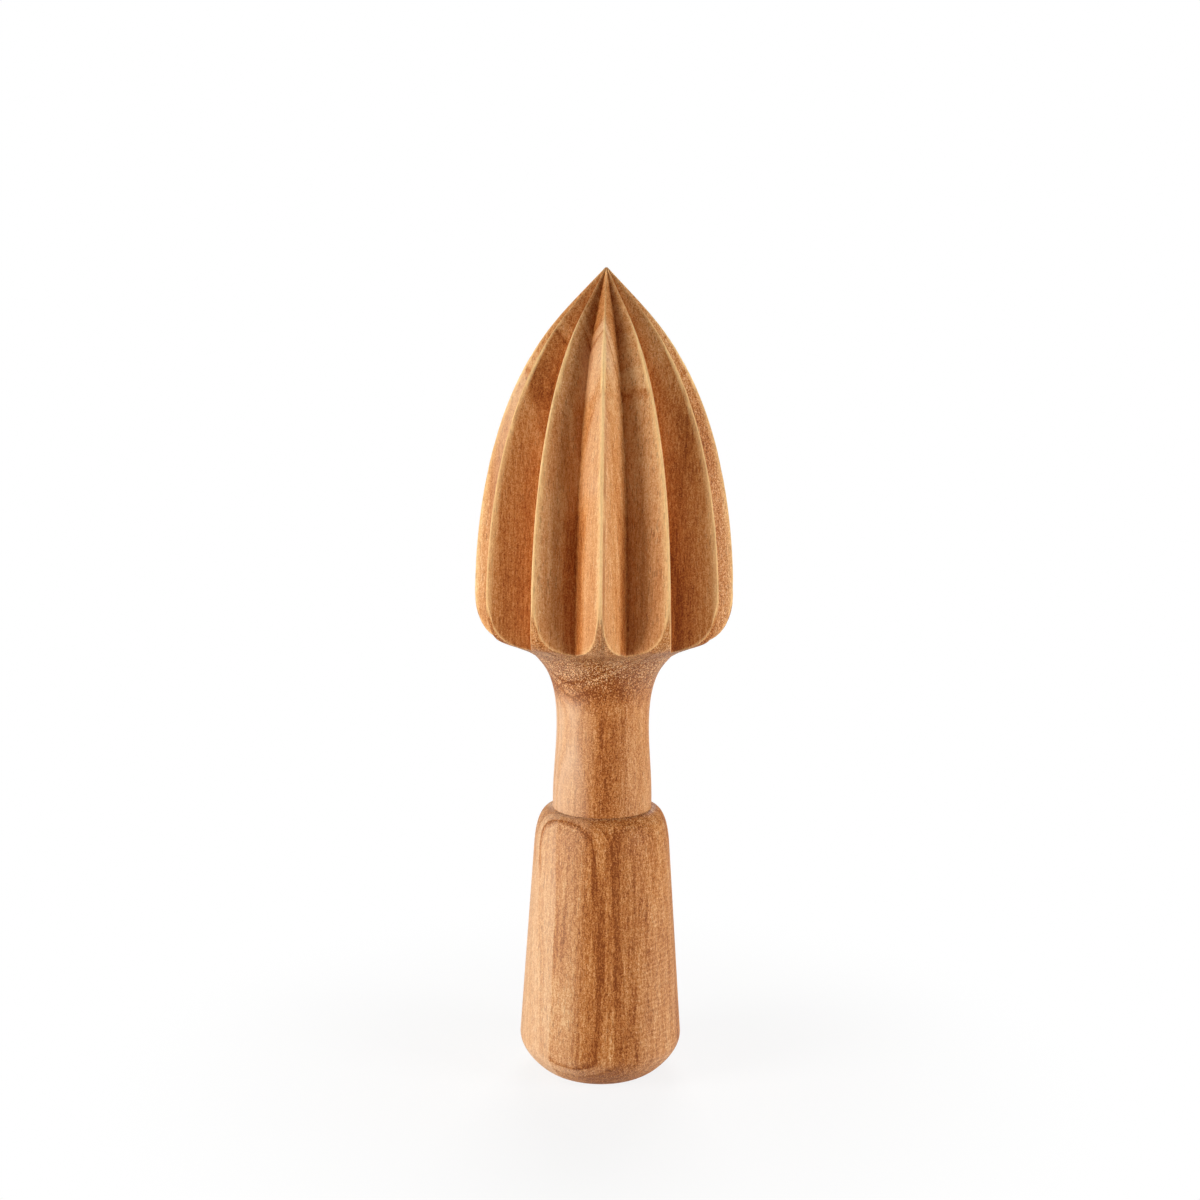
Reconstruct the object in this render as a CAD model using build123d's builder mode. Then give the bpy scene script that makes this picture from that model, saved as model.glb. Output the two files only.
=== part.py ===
from build123d import *
from math import cos, radians, sin, tan
import os

# Wooden citrus reamer in millimetres, standing on the flat end of its handle with the tip up.
# Its turning axis is Z, the surface that it stands on is Z = 0, and one ridge of the head faces -Y.
# It is two turned pieces: the fluted head with its neck and spigot, and the handle with its socket.

# Handle, from the floor up
handle_length = 56.2
handle_diameter = 33.6
handle_base_diameter = 20.0
handle_widest_height = 8.0
handle_shoulder_diameter = 28.0
handle_shoulder_length = 7.6
handle_top_diameter = 20.8
base_edge_angle = 12.0
shoulder_top_angle = 162.0
shoulder_pulls = (2.8, 0.15)

# Neck, from the handle's top to the collar under the head
neck_length = 32.1
neck_foot_diameter = 20.4
neck_foot_length = 2.0
neck_waist_diameter = 19.0
neck_waist_height = 17.3
collar_diameter = 28.4
collar_angle = 48.0

# Head, from the collar to the tip
head_length = 77.5
head_diameter = 52.6
head_widest_height = 12.0
underside_angle = 32.0
tip_angle = 90.0
tip_radius = 0.8

# Flutes, cut by a straight V that follows a curved bottom line
flute_count = 12
flute_angle = 90.0
ridge_width = 0.5
flute_root_diameter = 38.8

# Glued joint of the two pieces
spigot_diameter = 14.0
spigot_length = 25.0
spigot_chamfer = 1.0
glue_gap = 0.1
socket_air = 1.0

overrun = 5.0

# Shares of the way along an outline: the first number goes outwards, the second one upwards
base_edge_shares = ((0.635, 0.35),)
flare_shares = ((0.20, 0.58), (0.53, 0.82))
underside_shares = ((0.39, 0.20), (0.73, 0.34))
dome_shares = ((0.950, 0.27), (0.780, 0.555), (0.467, 0.80))


def along(start, end, shares):
    """Points of an outline between two corners."""
    reach = end[0] - start[0]
    rise = end[1] - start[1]
    return [(start[0] + out * reach, start[1] + up * rise) for out, up in shares]


def direction(angle):
    """Direction in the outline's plane, at an angle above the outward one."""
    return (cos(radians(angle)), sin(radians(angle)))


# The corners of the turned outlines, each as a radius and a height above the floor
collar_height = handle_length + neck_length
widest_height = collar_height + head_widest_height
tip_height = collar_height + head_length
half_tip = radians(tip_angle / 2)

base_corner = (handle_base_diameter / 2, 0)
handle_widest = (handle_diameter / 2, handle_widest_height)
shoulder_corner = (handle_shoulder_diameter / 2, handle_length - handle_shoulder_length)
handle_top = (handle_top_diameter / 2, handle_length)
neck_foot = (neck_foot_diameter / 2, handle_length)
neck_foot_top = (neck_foot_diameter / 2, handle_length + neck_foot_length)
neck_waist = (neck_waist_diameter / 2, handle_length + neck_waist_height)
collar = (collar_diameter / 2, collar_height)
head_widest = (head_diameter / 2, widest_height)
tip_edge = (tip_radius * cos(half_tip), tip_height - tip_radius * (1 - sin(half_tip)))
tip_slope = (-sin(half_tip), cos(half_tip))
dome_rise = tip_edge[1] - widest_height
dome_points = [(out * head_widest[0], widest_height + up * dome_rise) for out, up in dome_shares]

# The handle, with a socket bored down its axis for the spigot
with BuildPart() as handle:
    with BuildSketch(Plane.XZ):
        with BuildLine():
            taper = Line(handle_widest, shoulder_corner)
            Spline(
                base_corner, *along(base_corner, handle_widest, base_edge_shares), handle_widest,
                tangents=(direction(base_edge_angle), taper % 0),
            )
            Spline(
                shoulder_corner, handle_top,
                tangents=(taper % 1, direction(shoulder_top_angle)), tangent_scalars=shoulder_pulls,
            )
            Polyline(handle_top, (0, handle_length), (0, 0), base_corner)
        make_face()
    revolve(axis=Axis.Z)
    with Locations((0, 0, handle_length)):
        Hole(radius=spigot_diameter / 2 + glue_gap, depth=spigot_length + socket_air)
handle.part.label = "handle"

# One flute's cutter: what lies outside the flute's bottom line, drawn out along each flank of the V.
# The bottom line follows the dome at a steady share of its radius, which leaves the ridge's width
# between two flutes, and lower down it runs straight out through the head's underside.
flank = radians(flute_angle / 2)
mouth = radians(180 / flute_count) - ridge_width / head_diameter
root_share = cos(mouth) - sin(mouth) / tan(flank)
root_points = [(root_share * radius, height) for radius, height in dome_points + [tip_edge]]
root_bottom = (flute_root_diameter / 2, collar_height)
root_top = (root_points[-1][0], tip_height + overrun)
clear_radius = head_diameter / 2 + overrun
clear_depth = collar_height - overrun
with BuildPart() as flute:
    with BuildSketch(Plane.XZ):
        with BuildLine():
            Spline(root_bottom, *root_points)
            Polyline(
                root_points[-1], root_top, (clear_radius, root_top[1]), (clear_radius, clear_depth),
                (root_bottom[0], clear_depth), root_bottom,
            )
        make_face()
    extrude(amount=head_diameter / 2, dir=(cos(flank), sin(flank), 0))
    mirror(about=Plane.XZ)

# The head, its neck and its spigot, all turned from one blank, and then the flutes
with BuildPart() as fluted_head:
    with BuildSketch(Plane.XZ):
        with BuildLine():
            Line(neck_foot, neck_foot_top)
            Spline(neck_foot_top, neck_waist, tangents=((0, 1), (0, 1)))
            Spline(
                neck_waist, *along(neck_waist, collar, flare_shares), collar,
                tangents=((0, 1), direction(collar_angle)),
            )
            Spline(
                collar, *along(collar, head_widest, underside_shares), head_widest,
                tangents=(direction(underside_angle), (0, 1)),
            )
            Spline(head_widest, *dome_points, tip_edge, tangents=((0, 1), tip_slope))
            TangentArc(tip_edge, (0, tip_height), tangent=tip_slope)
            Polyline((0, tip_height), (0, handle_length), neck_foot)
        make_face()
    revolve(axis=Axis.Z)
    with BuildSketch(Plane.XY.offset(handle_length)):
        Circle(spigot_diameter / 2)
    extrude(amount=-spigot_length)
    chamfer(fluted_head.edges().sort_by(Axis.Z)[0], length=spigot_chamfer)
    with PolarLocations(0, flute_count, start_angle=180 / flute_count):
        add(flute.part, mode=Mode.SUBTRACT)
fluted_head.part.label = "fluted_head"

os.makedirs("parts", exist_ok=True)
export_step(handle.part, "parts/handle.step")
export_step(fluted_head.part, "parts/fluted_head.step")
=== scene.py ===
"""Looks of the wooden citrus reamer: two turned pieces of fruitwood on a white studio floor.

Sizes inside the classes are millimetres in the part's frame: the turning axis is Z, the surface that
the reamer stands on is Z = 0, and one ridge of the head faces -Y. Meshes are built in metres.
"""

import logging
import math
from dataclasses import dataclass
from enum import Enum
from typing import Any, Mapping, Sequence, Union

import bpy
import numpy as np
from mathutils import Matrix, Vector


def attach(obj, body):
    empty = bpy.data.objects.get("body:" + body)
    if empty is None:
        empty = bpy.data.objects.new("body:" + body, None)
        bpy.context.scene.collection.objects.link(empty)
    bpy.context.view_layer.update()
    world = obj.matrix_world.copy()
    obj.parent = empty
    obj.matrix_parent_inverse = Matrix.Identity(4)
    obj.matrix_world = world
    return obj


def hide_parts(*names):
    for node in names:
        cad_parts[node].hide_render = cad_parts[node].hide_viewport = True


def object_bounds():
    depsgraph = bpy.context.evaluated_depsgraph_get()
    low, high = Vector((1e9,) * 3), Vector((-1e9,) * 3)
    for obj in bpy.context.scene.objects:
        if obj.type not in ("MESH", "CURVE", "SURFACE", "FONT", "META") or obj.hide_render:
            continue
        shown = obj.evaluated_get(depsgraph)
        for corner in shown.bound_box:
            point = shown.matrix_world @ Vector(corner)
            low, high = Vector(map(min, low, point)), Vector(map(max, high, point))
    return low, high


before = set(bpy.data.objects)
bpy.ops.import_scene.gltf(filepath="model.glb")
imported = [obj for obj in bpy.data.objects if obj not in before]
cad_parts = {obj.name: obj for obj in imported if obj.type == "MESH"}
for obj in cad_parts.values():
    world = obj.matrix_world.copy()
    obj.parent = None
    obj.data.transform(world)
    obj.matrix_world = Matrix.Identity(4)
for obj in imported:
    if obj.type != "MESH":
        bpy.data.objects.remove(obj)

LOG = logging.getLogger("reamer")
METRES = 0.001
CAD_BOX = [list(corner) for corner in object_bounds()]

Point = tuple[float, float]
Triple = tuple[float, float, float]
Rows = tuple[tuple[int, float], ...]
Line = Union[np.ndarray, Sequence[Point]]


# Outlines

def run_along(line: np.ndarray) -> np.ndarray:
    """How far along a line each of its places lies."""
    return np.concatenate(([0.0], np.cumsum(np.linalg.norm(np.diff(line, axis=0), axis=1))))


def smooth_curve(points: Sequence[Point], start: np.ndarray, end: np.ndarray, count: int = 400) -> np.ndarray:
    """Smooth line through points in the outline's plane.

    Between two neighbouring points the line is a cubic in the chord length run so far. The slopes at the
    inner points are the ones that leave no jump in curvature, and the slopes at both ends are given.

    Args:
        points: radius and height of each point, in order.
        start: slope at the first point, as the change of radius and height for each millimetre of chord.
        end: slope at the last point.
        count: how many places along the line are worked out.

    Returns:
        Array of count rows with a radius and a height each.
    """
    knots = np.asarray(points, float)
    steps, place = np.diff(knots, axis=0), run_along(knots)
    chord, size = np.diff(place), len(knots)
    system = np.eye(size)
    wanted = np.zeros((size, 2))
    wanted[0], wanted[-1] = start, end
    inner = np.arange(1, size - 1)
    before, after = chord[:-1, None], chord[1:, None]
    system[inner, inner - 1] = chord[1:]
    system[inner, inner] = 2 * (chord[:-1] + chord[1:])
    system[inner, inner + 1] = chord[:-1]
    wanted[inner] = 3 * (after * steps[:-1] / before + before * steps[1:] / after)
    slopes = np.linalg.solve(system, wanted)
    at = np.linspace(0, place[-1], count)
    span = np.clip(np.searchsorted(place, at, side="right") - 1, 0, size - 2)
    width = chord[span][:, None]
    share = (at[:, None] - place[span][:, None]) / width
    return (
        (1 + 2 * share) * (1 - share) ** 2 * knots[span]
        + share * (1 - share) ** 2 * width * slopes[span]
        + share ** 2 * (3 - 2 * share) * knots[span + 1]
        + share ** 2 * (share - 1) * width * slopes[span + 1]
    )


def between(first: Point, last: Point, shares: Sequence[Point]) -> list[Point]:
    """Points between two corners of an outline, from shares of the way outwards and upwards.

    Args:
        first: radius and height of the lower corner.
        last: radius and height of the upper corner.
        shares: for each point, its share of the way outwards and its share of the way upwards.

    Returns:
        The first corner, the points and the last corner.
    """
    reach, rise = last[0] - first[0], last[1] - first[1]
    return [first, *((first[0] + out * reach, first[1] + up * rise) for out, up in shares), last]


def heading(degrees: float, pull: float = 1.0) -> np.ndarray:
    """Slope at an angle above the outward direction, with a pull on the curve."""
    return pull * np.array([math.cos(math.radians(degrees)), math.sin(math.radians(degrees))])


def even_steps(line: np.ndarray, count: int, crease: float) -> np.ndarray:
    """Places along a line at even distances, with one more close to each end that is a crease.

    Args:
        line: radii and heights along the line.
        count: how many places are wanted.
        crease: distance from each end at which a place is added, so that a crease there stays narrow,
            or 0 where the line runs on smoothly.

    Returns:
        Array of places with a radius and a height each, both ends included.
    """
    run = run_along(line)
    at = np.linspace(0, run[-1], count)
    if crease:
        at = np.unique(np.concatenate((at, [crease, run[-1] - crease])))
    return np.stack([np.interp(at, run, line[:, 0]), np.interp(at, run, line[:, 1])], axis=1)


def joined(*lines: np.ndarray) -> np.ndarray:
    """Lines one after the other, each without its first place, which the one before ends on."""
    return np.concatenate([lines[0], *(line[1:] for line in lines[1:])])


def stepped(lines: Sequence[Line], rows: Rows) -> np.ndarray:
    """Even steps along lines that follow each other, with a count and a crease distance for each line."""
    return joined(*(even_steps(np.asarray(line), *row) for line, row in zip(lines, rows)))


def ramp(values: np.ndarray, low: float, high: float) -> np.ndarray:
    """0 at low, 1 at high, a straight rise between them and level beyond; low may be above high."""
    return np.clip((values - low) / (high - low), 0, 1)


def wander(
    place: np.ndarray, seed: int, waves: int, longest: float,
    shorter: float = 1.9, weaker: float = 0.72, spread: float = 1.6,
) -> np.ndarray:
    """Slow wandering value: a sum of sines, each shorter and weaker than the one before.

    Args:
        place: millimetres along the wandering line.
        seed: number that picks the phases.
        waves: how many sines are summed.
        longest: length of the longest sine in millimetres.
        shorter: how many times shorter each sine is than the one before.
        weaker: height of each sine as a share of the one before.
        spread: what the sum, brought to between -1 and 1, is multiplied by.

    Returns:
        Array as large as place, mostly between -1 and 1.
    """
    phases = np.random.default_rng(seed).uniform(0, 2 * np.pi, waves)
    order = np.arange(waves)
    lengths, heights = longest / shorter ** order, weaker ** order
    angle = place[..., None] * (2 * np.pi / lengths) + phases
    return (np.sin(angle) * heights).sum(-1) / heights.sum() * spread


# Meshes

def turned_grid(radius: np.ndarray, angle: np.ndarray, height: Union[np.ndarray, float]) -> np.ndarray:
    """Places round the axis: the radius times the angle's cosine and times its sine, and the height."""
    return np.stack(np.broadcast_arrays(radius * np.cos(angle), radius * np.sin(angle), height), axis=-1)


def linked(name: str, places: np.ndarray, faces: Sequence[np.ndarray]) -> bpy.types.Object:
    """Object at the origin from its points and faces.

    Args:
        name: name of the piece.
        places: points in metres.
        faces: arrays of point numbers, one row for each face.

    Returns:
        The object, in the scene.
    """
    mesh = bpy.data.meshes.new(name)
    mesh.from_pydata(places.tolist(), [], [face for rows in faces for face in rows.tolist()])
    mesh.update()
    piece = bpy.data.objects.new(name, mesh)
    bpy.context.scene.collection.objects.link(piece)
    return piece


def closed_grid(name: str, grid: np.ndarray) -> bpy.types.Object:
    """Closed surface from a grid whose columns run round the axis and whose rows run outside upwards.

    The first and last rows are drawn together into one point each, which closes both ends.

    Args:
        name: name of the piece.
        grid: places in millimetres, as rows by columns by three.

    Returns:
        The object, at the origin, with smooth faces that point outwards.
    """
    rows, columns = grid.shape[:2]
    middle = grid[1:-1].reshape(-1, 3)
    places = np.concatenate([grid[0].mean(0)[None], middle, grid[-1].mean(0)[None]]) * METRES
    index = 1 + np.arange((rows - 2) * columns).reshape(rows - 2, columns)
    turned = np.roll(index, -1, axis=1)
    quads = np.stack([index[:-1], turned[:-1], turned[1:], index[1:]], axis=-1).reshape(-1, 4)
    low = np.stack([np.zeros(columns, int), turned[0], index[0]], axis=-1)
    high = np.stack([index[-1], turned[-1], np.full(columns, len(places) - 1)], axis=-1)
    piece = linked(name, places, (quads, low, high))
    piece.data.shade_smooth()
    return piece


def mark(piece: bpy.types.Object, name: str, values: np.ndarray) -> None:
    """Stores a number for each point of a piece, which a material reads by the name.

    Args:
        piece: the object.
        name: the attribute's name.
        values: one number for each point.
    """
    layer = piece.data.attributes.new(name, "FLOAT", "POINT")
    layer.data.foreach_set("value", values.astype(np.float32))


def mark_grid(piece: bpy.types.Object, name: str, values: np.ndarray) -> None:
    """Stores a number for each place of a closed grid: the mean of a row that was drawn together."""
    mark(piece, name, np.concatenate([[values[0].mean()], values[1:-1].ravel(), [values[-1].mean()]]))


def mark_across(piece: bpy.types.Object) -> None:
    """Stores how far a piece faces along the grain at each point: 0 on its sides, 1 where it is cut across.

    In words: the upright part of the point's normal, without its sign.

    Args:
        piece: the object.
    """
    normals = np.empty(3 * len(piece.data.vertices), np.float32)
    piece.data.vertices.foreach_get("normal", normals)
    mark(piece, "across", np.abs(normals[2::3]))


# Shader maths

class Field:
    """A node's output in a shader, with arithmetic on numbers that adds the Math nodes it needs."""

    def __init__(self, tree: bpy.types.NodeTree, socket: bpy.types.NodeSocket) -> None:
        """Wraps one output socket of a tree."""
        self.tree = tree
        self.socket = socket

    @property
    def shader(self) -> "Shader":
        """The shader that the field belongs to."""
        return Shader(self.tree)

    def _math(self, operation: str, *values: "Operand") -> "Field":
        """One Math node with an operation on up to three values."""
        return self.shader.node("ShaderNodeMath", {"operation": operation}, dict(enumerate(values)))

    def __add__(self, other: "Operand") -> "Field":
        """Sum with a number or a field."""
        return self._math("ADD", self, other)

    def __sub__(self, other: "Operand") -> "Field":
        """This less a number or a field."""
        return self._math("SUBTRACT", self, other)

    def __rsub__(self, other: "Operand") -> "Field":
        """A number or a field less this."""
        return self._math("SUBTRACT", other, self)

    def __mul__(self, other: "Operand") -> "Field":
        """Product with a number or a field."""
        return self._math("MULTIPLY", self, other)

    def __truediv__(self, other: "Operand") -> "Field":
        """This divided by a number or a field."""
        return self._math("DIVIDE", self, other)

    def __rtruediv__(self, other: "Operand") -> "Field":
        """A number or a field divided by this."""
        return self._math("DIVIDE", other, self)

    def __pow__(self, other: "Operand") -> "Field":
        """This raised to a power."""
        return self._math("POWER", self, other)

    def __rpow__(self, other: "Operand") -> "Field":
        """A number or a field raised to this."""
        return self._math("POWER", other, self)

    __radd__ = __add__
    __rmul__ = __mul__

    def root(self) -> "Field":
        """Square root."""
        return self._math("SQRT", self)

    def at_least(self, other: "Operand") -> "Field":
        """The larger of this and another value."""
        return self._math("MAXIMUM", self, other)

    def at_most(self, other: "Operand") -> "Field":
        """The smaller of this and another value."""
        return self._math("MINIMUM", self, other)

    def rises(self, low: float, high: float) -> "Field":
        """A smooth rise from 0 to 1, or a fall where low is above high.

        Args:
            low: value up to which it is 0.
            high: value from which it is 1.

        Returns:
            The share between 0 and 1.
        """
        settings = {"interpolation_type": "SMOOTHSTEP", "clamp": True}
        first, last = sorted((low, high))
        share = self.shader.node("ShaderNodeMapRange", settings, {0: self, 1: first, 2: last})
        return share if low < high else 1 - share


Operand = Union[Field, float]
Stop = tuple[float, Union[float, Triple]]


class Shader:
    """A material's node tree, with one way to add any node."""

    def __init__(self, tree: bpy.types.NodeTree) -> None:
        """Wraps a tree."""
        self.tree = tree

    @classmethod
    def material(cls, name: str) -> tuple["Shader", bpy.types.Material]:
        """Makes a new material with an empty tree.

        Args:
            name: the material's name.

        Returns:
            The shader and the material.
        """
        made = bpy.data.materials.new(name)
        made.use_nodes = True
        made.node_tree.nodes.clear()
        return cls(made.node_tree), made

    def node(
        self, kind: str, settings: Mapping[str, Any], sockets: Mapping[Union[int, str], Any],
        output: Union[int, str] = 0,
    ) -> Field:
        """Adds a node.

        Args:
            kind: the node's type.
            settings: its own settings, set before the sockets. A ramp's stops go under "stops", as
                pairs of a place and a colour or a grey.
            sockets: values or fields for its inputs, by number or name.
            output: which output is handed back.

        Returns:
            The chosen output as a field, which is empty for a node that has none.
        """
        made = self.tree.nodes.new(kind)
        for name, value in settings.items():
            if name == "stops":
                self._fill_ramp(made.color_ramp, value)
            else:
                setattr(made, name, value)
        for name, value in sockets.items():
            if isinstance(value, Field):
                self.tree.links.new(value.socket, made.inputs[name])
            elif value is not None:
                made.inputs[name].default_value = value
        return Field(self.tree, made.outputs[output] if len(made.outputs) else None)

    @staticmethod
    def _fill_ramp(scale: bpy.types.ColorRamp, stops: Sequence[Stop]) -> None:
        """Puts stops into a ramp, which starts with two of its own.

        Args:
            scale: the ramp.
            stops: pairs of a place and a colour or a grey.
        """
        while len(scale.elements) > 1:
            scale.elements.remove(scale.elements[-1])
        for number, (place, colour) in enumerate(stops):
            stop = scale.elements.new(place) if number else scale.elements[0]
            rgb = (colour,) * 3 if isinstance(colour, (int, float)) else colour
            stop.position, stop.color = place, (*rgb, 1.0)

    def mix(
        self, share: Operand, first: Union[Field, Triple], second: Union[Field, Triple], how: str = "MIX",
    ) -> Field:
        """Mixes two colours.

        Args:
            share: how much of the second one.
            first: colour at share 0.
            second: colour at share 1.
            how: blend type.

        Returns:
            The mixed colour.
        """
        first = first if isinstance(first, Field) else (*first, 1.0)
        second = second if isinstance(second, Field) else (*second, 1.0)
        settings = {"data_type": "RGBA", "blend_type": how, "clamp_factor": True}
        return self.node("ShaderNodeMix", settings, {0: share, 6: first, 7: second}, 2)

    def vector(
        self, operation: str, first: Any, second: Any = None, output: int = 0, scale: Any = None,
    ) -> Field:
        """Vector Math on one or two vectors.

        Args:
            operation: the operation's name.
            first: vector or field.
            second: vector or field, where the operation takes one.
            output: 0 for a vector, 1 for a number.
            scale: number for the scale operation.

        Returns:
            The result as a field.
        """
        sockets = {0: first, 1: second, 3: scale}
        return self.node("ShaderNodeVectorMath", {"operation": operation}, sockets, output)

    def squeezed(self, place: Field, sizes: Triple) -> Field:
        """Position in which a length along each axis counts as 1."""
        return self.vector("MULTIPLY", place, tuple(1 / size for size in sizes))

    def parts(self, place: Field) -> list[Field]:
        """The three parts of a position."""
        first = self.node("ShaderNodeSeparateXYZ", {}, {0: place})
        return [Field(self.tree, output) for output in first.socket.node.outputs]

    def stored(self, name: str) -> Field:
        """Numbers stored in the mesh under a name."""
        return self.node("ShaderNodeAttribute", {"attribute_name": name}, {}, "Fac")

    def noise(
        self, place: Field, scale: float, detail: float = 2.0, rough: float = 0.5, output: int = 0,
    ) -> Field:
        """Noise in space.

        Args:
            place: position.
            scale: how many grains in one unit of position.
            detail: how many finer layers are added.
            rough: how strong the finer layers are.
            output: 0 for the value, 1 for the colour.

        Returns:
            Value about 0.5, or colour about grey.
        """
        return self.node(
            "ShaderNodeTexNoise", {"noise_dimensions": "3D", "normalize": True},
            {"Vector": place, "Scale": scale, "Detail": detail, "Roughness": rough}, output,
        )

    def cells(self, place: Field, sizes: Triple) -> Field:
        """Small cells with a size along each axis of the position, each of its own random grey."""
        sockets = {"Vector": self.squeezed(place, sizes), "Scale": 1.0}
        return self.node("ShaderNodeTexVoronoi", {"voronoi_dimensions": "3D"}, sockets, "Color")

    def finish(self, shader: Field) -> None:
        """Sends a shader to the surface."""
        self.node("ShaderNodeOutputMaterial", {}, {"Surface": shader})


# What the wood is made of

@dataclass(frozen=True)
class Spot:
    """Where a point of the wood lies, as fields of its shader.

    The turned position is in the ring frame, with out and side along its axes and height above the
    floor, in millimetres. The others run from 0 to 1: how far a point is past the handle's top, past the
    foot of the flare and past the collar, how far round to the photographed side, and how far its
    surface is cut across the grain.
    """

    turned: Field
    out: Field
    side: Field
    height: Field
    on_neck: Field
    past_flare: Field
    on_head: Field
    front: Field
    across: Field


@dataclass(frozen=True)
class Texture:
    """Fine patterns of the wood at a spot: how dark the rings are, from 0 to 1, and others about 0.5."""

    rings: Field
    layers: Field
    streak: Field
    blotch: Field
    grit: Field
    speck: Field
    fibre: Field


@dataclass(frozen=True)
class ByPart:
    """A number of which the handle, the neck and the head each have their own value."""

    handle: float
    neck: float
    head: float

    def at(self, spot: Spot) -> Field:
        """The value at a spot, which passes softly from one part's to the next one's."""
        return self.handle + spot.on_neck * (self.neck - self.handle) + spot.on_head * (self.head - self.neck)


@dataclass(frozen=True)
class Grain:
    """Noise whose grains have a size along each axis of the ring frame, with its finer layers."""

    sizes: Triple
    detail: float = 2.0
    rough: float = 0.5

    def at(self, spot: Spot) -> Field:
        """The noise at a spot, about 0.5."""
        shader = spot.turned.shader
        return shader.noise(shader.squeezed(spot.turned, self.sizes), 1.0, self.detail, self.rough)


@dataclass(frozen=True)
class Zone:
    """A zone that is paler or darker than the rest: other wood, in two of them partly a painted sheen.

    It grows from 0 to 1 between the two places of its edge. There it lifts the tone, or lowers it where
    the number is below zero, and takes a share of the pale colour.
    """

    edge: Point
    tone: float = 0.0
    pale: float = 0.0

    def past(self, values: Field) -> Field:
        """How far values are past the zone's edge."""
        return values.rises(*self.edge)


@dataclass(frozen=True)
class Column:
    """A column that runs up through the piece: other wood in most, painted shade in some.

    Its middle is given in the ring frame, then its reach, the heights between which it runs and its
    strength. In the list of darker columns a strength below zero makes the wood paler.
    """

    out: float
    side: float
    reach: float
    low: float
    high: float
    strength: float
    end: float = 2.0

    def share(self, spot: Spot) -> Field:
        """The column's strength in its middle, falling softly to 0 at its reach and at its ends.

        In words: the distance from the middle is the root of the sum of the squares of both ways to it.
        Up to half of the reach the strength is whole.

        Args:
            spot: where the wood is looked at.

        Returns:
            The strength there.
        """
        out, side = spot.out - self.out, spot.side - self.side
        inside = (out * out + side * side).root().rises(self.reach, self.reach / 2)
        foot = spot.height.rises(self.low - self.end, self.low + self.end)
        top = spot.height.rises(self.high + self.end, self.high - self.end)
        return inside * foot * top * self.strength


@dataclass(frozen=True)
class DarkLine:
    """A thin dark line up the flute wall right of the front ridge, where all of these edges are passed."""

    left: Point = (0.32, 0.48)
    right: Point = (0.95, 0.72)
    back: Point = (-8.0, -12.0)
    foot: Point = (96.0, 100.0)
    top: Point = (152.0, 118.0)
    streak: Point = (0.30, 0.55)
    strength: float = 0.70

    def share(self, place: Field, streak: Field) -> Field:
        """How strong the vein is.

        Args:
            place: position in millimetres.
            streak: the wood's streaks, which break the line up.

        Returns:
            The product of what each edge leaves, times the strength.
        """
        right, back, height = place.shader.parts(place)
        wall = right.rises(*self.left) * right.rises(*self.right) * back.rises(*self.back)
        stretch = height.rises(*self.foot) * height.rises(*self.top)
        return wall * stretch * streak.rises(*self.streak) * self.strength


def summed(columns: Sequence[Column], spot: Spot) -> Field:
    """Sum of the columns' shares at a spot."""
    first, *others = (column.share(spot) for column in columns)
    return sum(others, first)


# Finishes

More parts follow.
